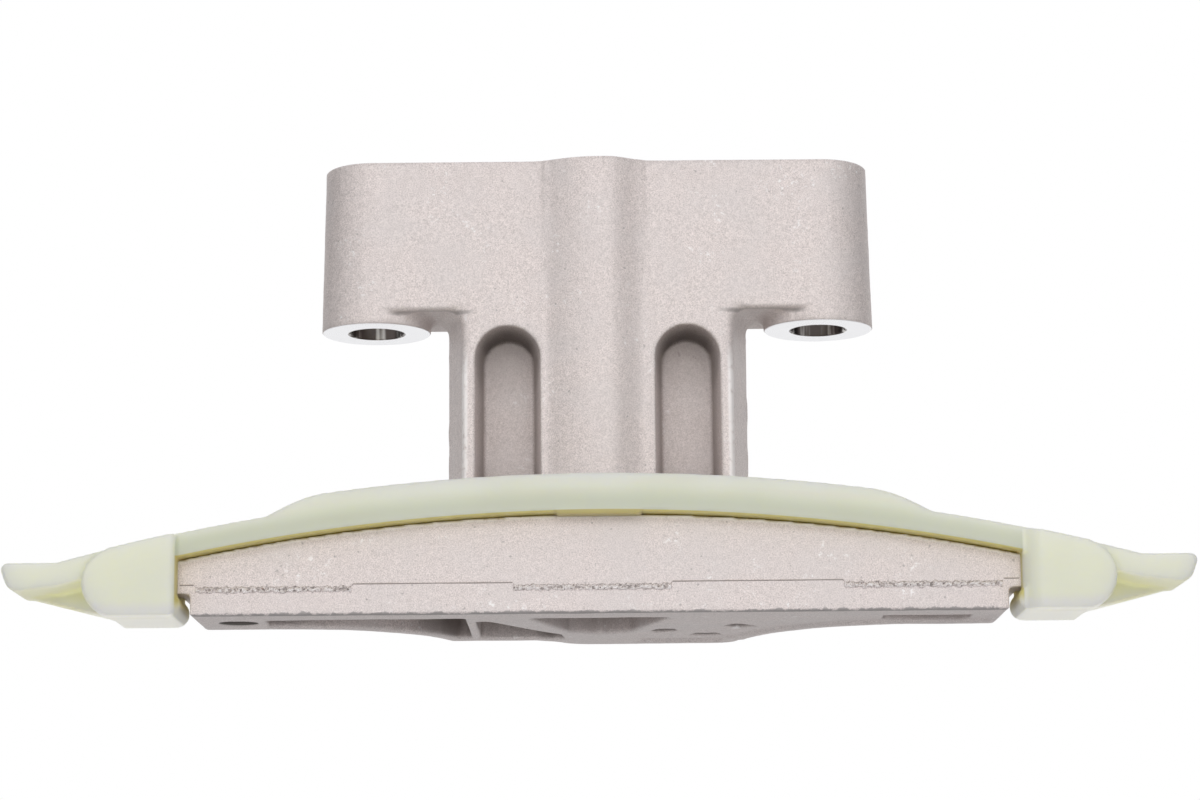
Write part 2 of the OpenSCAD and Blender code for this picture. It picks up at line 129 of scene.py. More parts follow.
# %% The node tree of a finish
class Paint:
    """The node tree of a material or of the world."""

    def __init__(self, owner):
        self.owner = owner
        owner.use_nodes = True
        self.tree = owner.node_tree
        self.tree.nodes.clear()

    def node(self, kind, settings=None, **sockets):
        """Adds a node, sets its settings first and then the values or links of its sockets."""
        made = self.tree.nodes.new(kind)
        for key, value in (settings or {}).items():
            setattr(made, key, value)
        for key, value in sockets.items():
            open_sockets = [s for s in made.inputs if s.enabled]
            if key[0] == "_":
                socket = open_sockets[int(key[1:])]
            else:
                socket = next(s for s in open_sockets if s.name.replace(" ", "") == key)
            if isinstance(value, Value):
                self.tree.links.new(value.socket, socket)
            elif isinstance(value, tuple) and len(socket.default_value) == 4:
                socket.default_value = (*value, 1)
            else:
                socket.default_value = value
        return made

    def out(self, kind, settings=None, output=0, **sockets):
        """Adds a node and returns one of its open outputs."""
        made = self.node(kind, settings, **sockets)
        return Value(self, [s for s in made.outputs if s.enabled][output])

    def read(self, kind, name, settings=None):
        """Adds a node that has no inputs and returns its output of the given name."""
        return Value(self, self.node(kind, settings).outputs[name])

    def maths(self, operation, *values):
        """A Math node on one or two values."""
        return self.out("ShaderNodeMath", {"operation": operation}, **{f"_{n}": v for n, v in enumerate(values)})

    def size_of(self, value):
        """A value without its sign."""
        return self.maths("ABSOLUTE", value)

    def most(self, first, *others):
        """The largest of some values."""
        for other in others:
            first = self.maths("MAXIMUM", first, other)
        return first

    def length(self, a, b):
        """Length of the long side of a right angle whose short sides are a and b."""
        return self.maths("SQRT", a * a + b * b)

    def mix(self, factor, a, b):
        """A colour between a and b."""
        return self.out("ShaderNodeMix", {"data_type": "RGBA"}, Factor=factor, A=a, B=b)

    def coats(self, colour, *coats):
        """Lays coats over a colour, each given as its mask, its strength and its tint."""
        for mask, strength, tint in coats:
            colour = self.mix(mask * strength, colour, tint)
        return colour

    def step(self, value, low, high):
        """Rises smoothly from 0 at low to 1 at high, and falls where low is above high."""
        if low > high:
            return 1 - self.step(value, high, low)
        return self.out(
            "ShaderNodeMapRange", {"interpolation_type": "SMOOTHSTEP"},
            Value=value, FromMin=low, FromMax=high,
        )

    def band(self, value, centre, wide, narrow):
        """1 as far as narrow from a centre, and 0 from wide on."""
        return self.step(self.size_of(value - centre), wide, narrow)

    def noise(self, place, size, detail=2.0, roughness=0.5):
        """Noise whose features are about the given size in metres, between 0 and 1."""
        return self.out("ShaderNodeTexNoise", Vector=place, Scale=1 / size, Detail=detail, Roughness=roughness)

    def spots(self, place, size, low, high, **character):
        """Noise that is cut to 0 up to a low level and to 1 from a high one on."""
        return self.step(self.noise(place, size, **character), low, high)

    def point(self, x, y, z):
        """A point made of three values."""
        return self.out("ShaderNodeCombineXYZ", X=x, Y=y, Z=z)

    def split(self, point):
        """The three values of a point or a direction."""
        made = self.node("ShaderNodeSeparateXYZ", Vector=point)
        return [Value(self, made.outputs[axis]) for axis in "XYZ"]

    def place(self):
        """Object coordinates, in metres in the part's own frame."""
        return self.read("ShaderNodeTexCoord", "Object")

    def facing_up(self):
        """Height of the surface's direction: 1 for a top, -1 for an underside."""
        return self.split(self.read("ShaderNodeNewGeometry", "Normal"))[2]

    def finish(self, shader, output="ShaderNodeOutputMaterial"):
        """Gives the shader to the output and returns what the tree belongs to."""
        self.node(output, Surface=shader)
        print(self.owner.name, "nodes", len(self.tree.nodes))
        return self.owner


# %% [markdown]
# The guide stands on a white table under plain studio light. The world is white to the camera and
# to reflections, but for a grey gap to both sides, a little behind the part, as between the lamps
# and the backdrop: it draws the darker bands on rounded metal. It is a little greyer from straight
# below too. For all other light the world is dim, because the lamps do most of the lighting.

# %% World
SKY_LIGHT = 0.42
GAP_SHADE, GAP_ASIDE, GAP_BEHIND = 1.0, (0.60, 0.85), (-0.20, 0.15)
LOW_SHADE, LOW_FROM = 0.35, (-0.15, -0.85)

studio = bpy.data.worlds.new("studio")
scene.world = studio
sky = Paint(studio)
seen_straight = sky.read("ShaderNodeLightPath", "Is Camera Ray")
mirrored = sky.most(
    sky.read("ShaderNodeLightPath", "Is Glossy Ray"), sky.read("ShaderNodeLightPath", "Is Transmission Ray"),
)
aside, behind, upward = sky.split(sky.read("ShaderNodeTexCoord", "Generated"))
gap = sky.step(sky.size_of(aside), *GAP_ASIDE) * sky.step(behind, *GAP_BEHIND) * GAP_SHADE
gap = sky.most(gap, sky.step(upward, *LOW_FROM) * LOW_SHADE)
level = (SKY_LIGHT + mirrored * (1 - SKY_LIGHT)) * (1 - gap)
glow = sky.out("ShaderNodeBackground", Color=(1, 1, 1), Strength=level + (1 - level) * seen_straight)
sky.finish(glow, "ShaderNodeOutputWorld")

# %% [markdown]
# The camera looks up from under the table top, so the table shows only from above: from below, and
# for the light, it is open. A part of its white is a glow, which keeps it white in every view, and
# the rest is lit, which keeps the object's shadow.

# %% Floor
FLOOR_SIZE = 6.0
TABLE_TINT = (0.93, 0.93, 0.93)
GLOW_SHARE = 0.45

floor_bm = bmesh.new()
bmesh.ops.create_grid(floor_bm, x_segments=1, y_segments=1, size=FLOOR_SIZE / 2)
bmesh.ops.translate(floor_bm, verts=floor_bm.verts, vec=(0, 0, cad_box[0].z))
floor_mesh = bpy.data.meshes.new("floor")
floor_bm.to_mesh(floor_mesh)
floor_bm.free()
floor = bpy.data.objects.new("floor", floor_mesh)
scene.collection.objects.link(floor)

table = Paint(bpy.data.materials.new("white_table"))
seen = table.read("ShaderNodeLightPath", "Is Camera Ray")
above = 1 - table.read("ShaderNodeNewGeometry", "Backfacing")
lit = table.out("ShaderNodeBsdfDiffuse", Color=TABLE_TINT)
pale = table.out("ShaderNodeEmission", Color=(1, 1, 1), Strength=1.0)
white = table.out("ShaderNodeMixShader", _0=GLOW_SHARE, _1=lit, _2=pale)
clear = table.out("ShaderNodeBsdfTransparent", Color=(1, 1, 1))
floor_mesh.materials.append(table.finish(table.out("ShaderNodeMixShader", _0=seen * above, _1=clear, _2=white)))
print("floor at z in mm", round(cad_box[0].z / MM, 2))

# %% [markdown]
# A large soft lamp in front gives the even light of a product photo. A weak one below opens up the
# undersides, one above and one behind keep the top and the back from going grey, and two at the
# sides draw the thin bright rims. Each lamp is given by its name, place, size and power.

# %% Lamps
LIT_PLACE = Vector((0, 0, -0.04))
LAMPS = (
    ("key", (0.01, -0.88, 0.14), 0.60, 3.05),
    ("low", (0.0, -0.16, -0.65), 0.45, 0.35),
    ("top", (0.0, 0.15, 0.80), 0.60, 0.5),
    ("back", (0.0, 0.70, 0.60), 0.50, 1.9),
    ("left_rim", (-0.60, 0.62, 0.05), 0.45, 0.42),
    ("right_rim", (0.60, 0.62, 0.05), 0.45, 0.56),
)
for name, spot, size, power in LAMPS:
    lamp_data = bpy.data.lights.new(name, "AREA")
    lamp_data.size, lamp_data.energy = size, power
    lamp = bpy.data.objects.new(name, lamp_data)
    scene.collection.objects.link(lamp)
    aim = LIT_PLACE - Vector(spot)
    lamp.matrix_world = Matrix.Translation(spot) @ aim.to_track_quat("-Z", "Y").to_matrix().to_4x4()
print("lamps", [name for name, *_ in LAMPS])


# %% [markdown]
# A casting has no sharp edges: the mould and the blasting afterwards round every one of them. Bevels
# on each edge would fail where many short edges meet, so the solid is skinned anew with small even
# faces, as clay would be, and the skin is relaxed until its edges are soft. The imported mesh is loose
# triangles, so a copy of it is merged first.

# %% Skin helpers
MERGE_WITHIN = 0.002 * MM
RELAX_FACTOR = 0.5


def merged_copy(node):
    """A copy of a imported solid's mesh with its corners joined."""
    bm = bmesh.new()
    bm.from_mesh(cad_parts[node].data)
    bmesh.ops.remove_doubles(bm, verts=bm.verts, dist=MERGE_WITHIN)
    return bm


def reworked(bm, name, *steps):
    """Runs a bmesh through modifiers, each given as its kind and its settings."""
    mesh = bpy.data.meshes.new(name)
    bm.to_mesh(mesh)
    bm.free()
    piece = bpy.data.objects.new(name, mesh)
    scene.collection.objects.link(piece)
    for kind, settings in steps:
        step = piece.modifiers.new(kind, kind)
        for key, value in settings.items():
            setattr(step, key, value)
    made = bpy.data.meshes.new_from_object(piece.evaluated_get(bpy.context.evaluated_depsgraph_get()))
    bpy.data.objects.remove(piece)
    bm = bmesh.new()
    bm.from_mesh(made)
    bpy.data.meshes.remove(made)
    print(name, "faces", len(bm.faces))
    return bm


def new_skin(bm, name, voxel, rounds):
    """Skins a closed bmesh with even faces and relaxes the skin."""
    return reworked(
        bm, name,
        ("REMESH", {"mode": "VOXEL", "voxel_size": voxel, "adaptivity": 0}),
        ("SMOOTH", {"factor": RELAX_FACTOR, "iterations": rounds}),
    )


def finished_piece(bm, name, nodes=()):
    """Makes the shown piece from a bmesh, in place, and tells the frame about it."""
    mesh = bpy.data.meshes.new(name)
    bm.to_mesh(mesh)
    bm.free()
    piece = bpy.data.objects.new(name, mesh)
    scene.collection.objects.link(piece)
    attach(piece, "root")
    if nodes:
        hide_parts(*nodes)
    triangles = sum(len(p.vertices) - 2 for p in mesh.polygons)
    print(name, "triangles", triangles)
    return piece


# %% [markdown]
# The top and the two bolt seats are machined on the real casting. Metal is left standing proud there
# before the skinning, so that the softened rim can be cut away afterwards, as a milling cutter does.
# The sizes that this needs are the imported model's own.

# %% Sizes that the machining needs
BORES = (Vector((-35 * MM, 0, 0)), Vector((35 * MM, 0, 0)))
BORE_R = 4.25 * MM
BOSS_REACH = 9.6 * MM
SEAT_Z = -26 * MM
ALLOWANCE = 2 * MM
LEVEL_WITHIN = 0.01 * MM


def from_bore(v, bore):
    """Distance of a vertex from a bore's axis."""
    return math.hypot(v.co.x - bore.x, v.co.y - bore.y)


def at_seat(v, bore, height):
    """True for a vertex of the lowest few millimetres of a boss, under the given height."""
    return SEAT_Z - 2 * ALLOWANCE < v.co.z < height and from_bore(v, bore) < BOSS_REACH


# %% Rough casting
SEAT_SEARCH = 0.5 * MM
CASTING_VOXEL, CASTING_ROUNDS = 0.34 * MM, 2

rough = merged_copy("bracket")
for v in rough.verts:
    if v.co.z > -LEVEL_WITHIN:
        v.co.z += ALLOWANCE
    elif any(at_seat(v, bore, SEAT_Z + SEAT_SEARCH) for bore in BORES):
        v.co.z -= ALLOWANCE
casting = new_skin(rough, "casting", CASTING_VOXEL, CASTING_ROUNDS)

# %% [markdown]
# The cast skin is never quite flat. Two sizes of noise move it by a few hundredths of a millimetre,
# which is enough to break up the reflections. A ragged bead of flash stands on both sides of the
# stem, where the two halves of the mould met. The bores are reamed, so their walls are made round.

# %% Uneven skin, flash and round bores
SWELL, SWELL_SPACING = 0.05 * MM, 7
RIPPLE, RIPPLE_SPACING, RIPPLE_SEED = 0.018 * MM, 1.3, Vector((9, 4, 2))
FLASH, FLASH_SPACING, FLASH_SEED = 0.32 * MM, 2.7, Vector((1, 7, 5))
FLASH_HALF, FLASH_GAP = 0.7 * MM, 0.02
STEM_SIDE = 22.6 * MM
STEM_LOW, STEM_HIGH = mm(-64, -27)
PARTING_Y = 2.4 * MM
WALL_SEARCH = 0.5 * MM

casting.normal_update()
flash_height = 0
for v in casting.verts:
    bore = min(BORES, key=lambda b: from_bore(v, b))
    if from_bore(v, bore) < BORE_R + WALL_SEARCH:
        arm = Vector((v.co.x - bore.x, v.co.y - bore.y, 0)).normalized() * BORE_R
        v.co.x, v.co.y = bore.x + arm.x, bore.y + arm.y
        continue
    spot = v.co / MM
    push = SWELL * noise.noise(spot / SWELL_SPACING) + RIPPLE * noise.noise(spot / RIPPLE_SPACING + RIPPLE_SEED)
    from_parting = abs(v.co.y - PARTING_Y)
    if abs(v.co.x) > STEM_SIDE and from_parting < FLASH_HALF and STEM_LOW < v.co.z < STEM_HIGH:
        bead = 1 - from_parting / FLASH_HALF
        flash = bead * FLASH * max(0, noise.noise(spot / FLASH_SPACING + FLASH_SEED) - FLASH_GAP)
        flash_height = max(flash_height, flash)
        push += flash
    v.co += v.normal * push
print("flash in mm up to", round(flash_height / MM, 2))


# %% [markdown]
# The raised column in the middle has flanks that roll softly into the flat head, the left one wider
# than the right one. The solid's flanks are arcs. Here the skin's own outline is measured in narrow
# strips, and each point of the column is shifted by what the soft outline asks for at its place.

# %% Helpers for an outline
def smooth(value, low, high):
    """Rises smoothly from 0 at low to 1 at high, or falls where low is above high."""
    t = min(1, max(0, (value - low) / (high - low)))
    return t * t * (3 - 2 * t)


def on_line(points, x):
    """Height at x of a line through points given as pairs, in order."""
    for (x0, y0), (x1, y1) in zip(points, points[1:]):
        if x0 <= x <= x1:
            return y0 + (y1 - y0) * (x - x0) / (x1 - x0)
    return 0


# %% The column's outline as it is
STRIP = 0.3
MEASURED_HALF, MEASURED_Z, FACING_FRONT = 12.5 * MM, mm(-20, -10), -0.5

strips = {}
for v in casting.verts:
    if MEASURED_Z[0] < v.co.z < MEASURED_Z[1] and abs(v.co.x) < MEASURED_HALF and v.normal.y < FACING_FRONT:
        strips.setdefault(round(v.co.x / (STRIP * MM)), []).append((v.co.x / MM, v.co.y / MM))
outline = [tuple(sum(values) / len(values) for values in zip(*spots)) for _, spots in sorted(strips.items())]
flat_y, crest_y = max(y for _, y in outline), min(y for _, y in outline)
print("column rises from y in mm", round(flat_y, 2), "to", round(crest_y, 2), "strips", len(outline))

# %% Rounder flanks on the column
SOFT_OUTLINE = (
    (-11.5, 0), (-9.6, 0.05), (-8.3, 0.11), (-7.3, 0.20), (-6.4, 0.37), (-5.4, 0.54), (-4.2, 0.71),
    (-3.0, 0.83), (-1.5, 0.94), (0, 0.985), (1.2, 1), (2.4, 0.97), (3.2, 0.88), (4.0, 0.73),
    (4.8, 0.54), (5.6, 0.36), (6.4, 0.20), (7.4, 0.08), (8.6, 0.02), (9.6, 0), (11.5, 0),
)
COLUMN_HALF, COLUMN_LOW, COLUMN_FRONT = 11.5, -62, -15
MOVED_FROM, MOVED_WHOLLY = -7.0, -8.2
AVERAGED = (-0.5, -0.25, 0, 0.25, 0.5)

for v in casting.verts:
    x, y, z = v.co / MM
    if abs(x) < COLUMN_HALF and z > COLUMN_LOW and COLUMN_FRONT < y < MOVED_FROM:
        rise = sum(on_line(SOFT_OUTLINE, x + side) for side in AVERAGED) / len(AVERAGED)
        shift = flat_y + (crest_y - flat_y) * rise - on_line(outline, x)
        v.co.y += shift * MM * smooth(y, MOVED_FROM, MOVED_WHOLLY)
print("soft outline points", len(SOFT_OUTLINE))

# %% [markdown]
# Where the stem's front edges run up into the head, the blasted metal is rounder than elsewhere. A
# few rounds of smoothing on the points of those two corners alone are enough.

# %% Soft corners where the stem's edges run into the head
CORNER_ROUNDS, CORNER_FACTOR = 24, 0.5
CORNER_X, CORNER_Y, CORNER_Z = mm(19.4, 23.2), mm(-12, 1), mm(-34, -22)

corners = [
    v for v in casting.verts
    if CORNER_X[0] < abs(v.co.x) < CORNER_X[1]
    and CORNER_Y[0] < v.co.y < CORNER_Y[1]
    and CORNER_Z[0] < v.co.z < CORNER_Z[1]
]
for _ in range(CORNER_ROUNDS):
    bmesh.ops.smooth_vert(
        casting, verts=corners, factor=CORNER_FACTOR, use_axis_x=True, use_axis_y=True, use_axis_z=True,
    )
print("softened corner points", len(corners))

# %% [markdown]
# The top and the two bolt seats are flat, at their exact height, with a crisp rim. So a plane cuts
# off the metal that was left standing proud there, a new face closes the cut, and a narrow inset
# round it becomes the broken edge. Edges and corners are listed in the order of the faces, so that
# every run gives the same mesh.

# %% Milled faces
BREAK_EDGE = 0.18 * MM
CUT_WITHIN = 1e-7
SKIN_DEPTH = 1.5 * MM


def mill(bm, height, side, keep):
    """Cuts the chosen skin flat at a height, closes it, and breaks the new edges."""
    cut = height - side * BREAK_EDGE
    faces = [f for f in bm.faces if all(keep(v) for v in f.verts)]
    edges = list(dict.fromkeys(e for f in faces for e in f.edges))
    verts = list(dict.fromkeys(v for f in faces for v in f.verts))
    done = bmesh.ops.bisect_plane(
        bm, geom=verts + edges + faces, dist=CUT_WITHIN,
        plane_co=(0, 0, cut), plane_no=(0, 0, side), clear_outer=True,
    )
    rim = [e for e in done["geom_cut"] if isinstance(e, bmesh.types.BMEdge) and e.is_boundary]
    made = bmesh.ops.triangle_fill(bm, use_beauty=True, edges=rim, normal=(0, 0, side))
    cap = [f for f in made["geom"] if isinstance(f, bmesh.types.BMFace)]
    for f in cap:
        if f.normal.z * side < 0:
            f.normal_flip()
    bmesh.ops.inset_region(bm, faces=cap, thickness=BREAK_EDGE, depth=0, use_even_offset=False)
    for v in {v for f in cap for v in f.verts}:
        v.co.z = height
    print("milled face at z in mm", round(height / MM, 1), "rim edges", len(rim), "faces", len(cap))


mill(casting, 0, 1, lambda v: v.co.z > -SKIN_DEPTH)
for bore in BORES:
    mill(casting, SEAT_Z, -1, lambda v: at_seat(v, bore, SEAT_Z + SKIN_DEPTH))

# %% [markdown]
# The skin has far more faces than a flat wall needs, so it is thinned. It is shaded smooth, but for
# the rims of the milled faces, which stay crisp.

# %% Thinned casting with crisp machined edges
KEPT_SHARE = 0.36
CRISP_FROM = math.radians(20)

casting = reworked(casting, "thinned_casting", ("DECIMATE", {"ratio": KEPT_SHARE}))
for f in casting.faces:
    f.smooth = True
for e in casting.edges:
    milled_edge = all(min(abs(v.co.z), abs(v.co.z - SEAT_Z)) < LEVEL_WITHIN for v in e.verts)
    if milled_edge and e.calc_face_angle(0) > CRISP_FROM:
        e.smooth = False
bracket = finished_piece(casting, "bracket_casting", ["bracket"])

# %% [markdown]
# The two halves of the mould met along a seam on the front of the foot. Where metal was fed in, the
# runner was broken off and left three torn scars, which hang a little under the clean seam. Bump
# alone would look flat at the outline, so a fine grid laid on the front face is pushed out into a
# lip, lumps and a crease. Its edges dive under the cast skin. An attribute holds painted shade, from
# 1 in the crease to -1 for a painted highlight on a lump, for the finish. All sizes here are in mm.

# %% Seam and torn scars: sizes
FRONT_Y = -34.0
SEAM_Z, SEAM_HALF, SEAM_TOP, SEAM_LOW = -70.2, 61.2, 0.36, -1.68
LEDGE_X, LEDGE_LOW = 59.3, -0.9
END_DIVE, SUNK = 0.2, -0.09
SCARS = ((-59.0, -35.8), (-12.7, 10.7), (35.4, 58.8))
SCAR_SLOPE, TORN = 0.35, 0.6
LIP_RISE, LIP_SPREAD = 0.11, 0.3
CLEAN_LINE, SCAR_LINE = 3.2, 1.7
LUMP_FOOT, LUMP_RISE, LUMP_PALE, LUMP_CONTRAST = 0.02, 0.42, 0.24, 2.0
LUMP_FADE_LOW, LUMP_FADE_HIGH = 0.12, 0.1
UNDER_SPREAD = 0.13
CREASE_WAVES = (-0.42, (0.30, 1.3, 0, 3), (0.2, 3.7, 0, 8))
LOW_WAVES = (-1.16, (0.34, 1.1, 0, 21), (0.22, 3.3, 0, 5))
LUMP_WAVES = (0.5, (0.9, 1.5, 2.1, 13), (0.7, 4.1, 4.6, 31))
UNDER_WAVES = (0.55, (0.45, 1.9, 0, 44))


def clamp(value, low, high):
    """A value kept between two others."""
    return max(low, min(high, value))


def wander(x, t, mean, *waves):
    """A mean value plus waves of noise, each given as its strength, its two rates and its seed."""
    for strength, rate_x, rate_t, seed in waves:
        mean += strength * noise.noise(Vector((x * rate_x, t * rate_t, seed)))
    return mean


print("scars in mm", SCARS)


# %% Seam and torn scars: relief
def torn_share(x):
    """1 inside a scar, 0 on the clean seam, with a short slope between."""
    return max(clamp(min(x - a, b - x) / SCAR_SLOPE, 0, 1) for a, b in SCARS)


def seam_shape(x, t):
    """Height over the front face, and painted shade, of a point at x and t over the clean seam; a negative shade
    is a painted highlight.
    """
    torn = torn_share(x)
    crease = torn * wander(x, 0, *CREASE_WAVES)
    low = wander(x, 0, *LOW_WAVES)
    if t > crease:
        up = (t - crease) / LIP_SPREAD
        line = CLEAN_LINE + (SCAR_LINE - CLEAN_LINE) * torn
        return LIP_RISE * max(0, 1 - up) + SUNK * min(1, up), max(0, 1 - up * line)
    if torn > TORN and t > low:
        lump = wander(x, t, *LUMP_WAVES)
        fade = min(1, (t - low) / LUMP_FADE_LOW, (crease - t) / LUMP_FADE_HIGH)
        return LUMP_FOOT + LUMP_RISE * max(0, lump) * fade, clamp((LUMP_PALE - lump) * LUMP_CONTRAST, -1, 1)
    bottom = min(crease, low) if torn > TORN else crease
    under = min(1, (bottom - t) / UNDER_SPREAD)
    darkest = wander(x, 0, *UNDER_WAVES) if torn > TORN else 1
    return SUNK * under, (1 - under) * darkest


# %% Seam and torn scars: grid
GRID_STEP = 0.12

seam = bmesh.new()
# The crease attribute holds painted shade, and a painted highlight where it is negative.
shade_and_highlight_layer = seam.verts.layers.float.new("crease")
columns = round(2 * SEAM_HALF / GRID_STEP)
rows = round((SEAM_TOP - SEAM_LOW) / GRID_STEP)
bmesh.ops.create_grid(seam, x_segments=columns, y_segments=rows, size=0.5)
for v in seam.verts:
    x = v.co.x * 2 * SEAM_HALF
    t = SEAM_LOW + (v.co.y + 0.5) * (SEAM_TOP - SEAM_LOW)
    rise, painted_shade_level = seam_shape(x, t)
    if abs(x) > SEAM_HALF - END_DIVE:
        rise = SUNK
    if abs(x) > LEDGE_X:
        t = max(t, LEDGE_LOW)
    v[shade_and_highlight_layer] = painted_shade_level
    v.co = Vector((x, FRONT_Y - rise, SEAM_Z + t)) * MM
bmesh.ops.recalc_face_normals(seam, faces=seam.faces)
for f in seam.faces:
    if f.normal.y > 0:
        f.normal_flip()
seam_piece = finished_piece(seam, "seam_and_scars")

# %% [markdown]
# The slider shoe is injection moulded. Its edges are soft too, but much tighter than a casting's, so
# its skin gets smaller faces.

# %% Slider shoe
SHOE_VOXEL, SHOE_ROUNDS = 0.30 * MM, 3

shoe = new_skin(merged_copy("slider"), "shoe", SHOE_VOXEL, SHOE_ROUNDS)
for f in shoe.faces:
    f.smooth = True
slider = finished_piece(shoe, "slider_shoe", ["slider"])

# %% [markdown]
# One finish covers the whole bracket, as one metal does. It could be split over several materials by
# face, but a mask from the place on the part gives softer borders, bakes, and stays in every view.
# The first masks say where the metal is machined: the top, the two bolt seats and the bores' walls.

# %% Cast aluminium: machined places
TOP_EDGE = mm(-0.1, -0.03)
SEAT_EDGE, SEAT_RIM = (SEAT_Z + 0.1 * MM, SEAT_Z + 0.03 * MM), mm(9.2, 8.9)
WALL_EDGE = (BORE_R + 0.35 * MM, BORE_R + 0.3 * MM)

cast = Paint(bpy.data.materials.new("cast_aluminium"))
spot = cast.place()
x, y, z = cast.split(spot)
aside = cast.size_of(x)
from_bores = cast.maths("MINIMUM", *(cast.length(x - bore.x, y) for bore in BORES))
top_face = cast.step(z, *TOP_EDGE)
seat_face = cast.step(z, *SEAT_EDGE) * cast.step(from_bores, *SEAT_RIM)
bore_wall = cast.step(from_bores, *WALL_EDGE)
milled = cast.most(top_face, seat_face, bore_wall)
print("nodes so far", len(cast.tree.nodes))

# %% [markdown]
# Blasted aluminium is pale and a little warm. Its grain is finer than a millimetre: small bright
# facets and dark pits, with bright flecks in patches and a faint mottle over the whole.

# %% Cast aluminium: blasted skin
GRAIN_DARK, GRAIN_PALE = (0.50, 0.443, 0.43), (0.95, 0.867, 0.847)
MOTTLE_TINT, FLECK_TINT, PIT_TINT = (0.68, 0.64, 0.635), (0.95, 0.93, 0.93), (0.36, 0.33, 0.33)
GRAIN_SHARE, GRAIN_SPAN = 0.8, (0.28, 0.72)

grain = cast.noise(spot, size=0.21 * MM, detail=3.0, roughness=0.8)
coarse = cast.noise(spot, size=0.85 * MM, detail=3.0, roughness=0.7)
mottle = cast.spots(spot, size=9 * MM, low=0.35, high=0.7, detail=3.0)
flecks = cast.spots(spot, size=0.8 * MM, low=0.56, high=0.70, detail=3.0, roughness=0.7)
flecks = flecks * cast.spots(spot, size=7 * MM, low=0.52, high=0.66, detail=1.0)
pits = cast.spots(spot, size=0.7 * MM, low=0.27, high=0.19, detail=1.0, roughness=0.4)
tone = grain * GRAIN_SHARE + coarse * (1 - GRAIN_SHARE)
blasted = cast.mix(cast.step(tone, *GRAIN_SPAN), GRAIN_DARK, GRAIN_PALE)
blasted = cast.coats(blasted, (mottle, 0.35, MOTTLE_TINT), (flecks, 0.8, FLECK_TINT), (pits, 0.6, PIT_TINT))
print("nodes so far", len(cast.tree.nodes))

# %% [markdown]
# A milling cutter leaves rings around its own middle, here each bore. The seats are bright, the top
# is greyer. The bores' walls are painted dark, as painted shade inside the holes, and a reamer's
# streaks along the bore keep a paler metal tone there, so noise is squeezed along Z for the walls.

# %% Cast aluminium: machined metal
RING_SPACING = 0.28 * MM
STREAK_SQUEEZE = 0.06
SEAT_TINTS = ((0.84, 0.84, 0.86), (0.90, 0.90, 0.92))
TOP_TINTS = ((0.60, 0.60, 0.61), (0.66, 0.66, 0.67))
BORE_SHADE_AND_STREAK_TINTS = ((0.10, 0.085, 0.08), (0.62, 0.60, 0.58))

rings = cast.maths("SINE", from_bores * (2 * math.pi / RING_SPACING))
ring_share = rings * 0.5 + 0.5
bright = cast.mix(ring_share, *SEAT_TINTS)
bright = cast.mix(top_face, bright, cast.mix(ring_share, *TOP_TINTS))
streaks = cast.spots(cast.point(x, y, z * STREAK_SQUEEZE), size=1.6 * MM, low=0.5, high=0.66)
# Painted shade darkens the bores' walls, broken by the reamer's paler streaks.
bright = cast.mix(bore_wall, bright, cast.mix(streaks, *BORE_SHADE_AND_STREAK_TINTS))
print("nodes so far", len(cast.tree.nodes))

# %% [markdown]
# The stem's two front edges and the foot's upper front edge, which follows the arc of the chain, get
# a painted highlight, which also stands for rubbing in handling. Each is a narrow band around the
# edge's place, broken up by noise.

# %% Cast aluminium: painted highlights on rubbed edges
STEM_EDGE_X, STEM_EDGE_Y = mm(20.8, -8.55)
STEM_LINE_X, STEM_LINE_Y, STEM_LINE_TOP = mm(0.8, 0.25), mm(1.0, 0.6), mm(-29, -33)
FOOT_R, ARC_CENTRE_Z = mm(300, -360.2)
FOOT_LINE_DEPTH, FOOT_LINE_Y = mm(0.8, 0.25), mm(FRONT_Y + 0.5, FRONT_Y + 0.2)
RUBBED_EDGE_HIGHLIGHT_TINT = (0.97, 0.935, 0.93)

stem_line = cast.band(aside, STEM_EDGE_X, *STEM_LINE_X) * cast.band(y, STEM_EDGE_Y, *STEM_LINE_Y)
stem_line = stem_line * cast.step(z, *STEM_LINE_TOP)
under_bed = FOOT_R - cast.length(x, z - ARC_CENTRE_Z)
foot_line = cast.step(under_bed, *FOOT_LINE_DEPTH) * cast.step(y, *FOOT_LINE_Y)
rubbed_edge_highlight = cast.most(stem_line, foot_line) * cast.spots(spot, size=1.1 * MM, low=0.22, high=0.5)
# Painted highlight along the edges, which also stands for rubbing.
blasted = cast.coats(blasted, (rubbed_edge_highlight, 0.85, RUBBED_EDGE_HIGHLIGHT_TINT))
print("nodes so far", len(cast.tree.nodes))

# %% [markdown]
# Painted shade makes other lines darker: the foot's ragged lower edge, the wall of the blind hole in
# its underside, and the blends beside the stem, under the head. The last one is laid on in the next
# cell, over the painted shade of the hollows.

# %% Cast aluminium: painted shade lines
LOW_EDGE_Z, LOW_EDGE_SPAN, LOW_EDGE_Y = -74.75 * MM, mm(0.3, 0.05), mm(FRONT_Y + 1.0, FRONT_Y + 0.6)
RAGGED_REACH, RAGGED_MEAN = 1.6 * MM, 0.42
HOLE_PLACE, HOLE_SPAN = Vector((-53.55, -23.75, 0)) * MM, mm(3.1, 2.95)
HOLE_MOUTH, HOLE_END = mm(-74.65, -74.45), mm(-69, -70)
WEB_Z, WEB_SPAN, WEB_Y = -24.3 * MM, mm(0.5, 0.1), mm(-7.0, -7.8)
WEB_FROM_X, WEB_TO_X = mm(18.4, 20.8), mm(33.5, 31.0)
LOW_EDGE_SHADE_TINT, HOLE_SHADE_TINT, WEB_SHADE_TINT = (0.30, 0.28, 0.28), (0.07, 0.07, 0.06), (0.30, 0.27, 0.265)

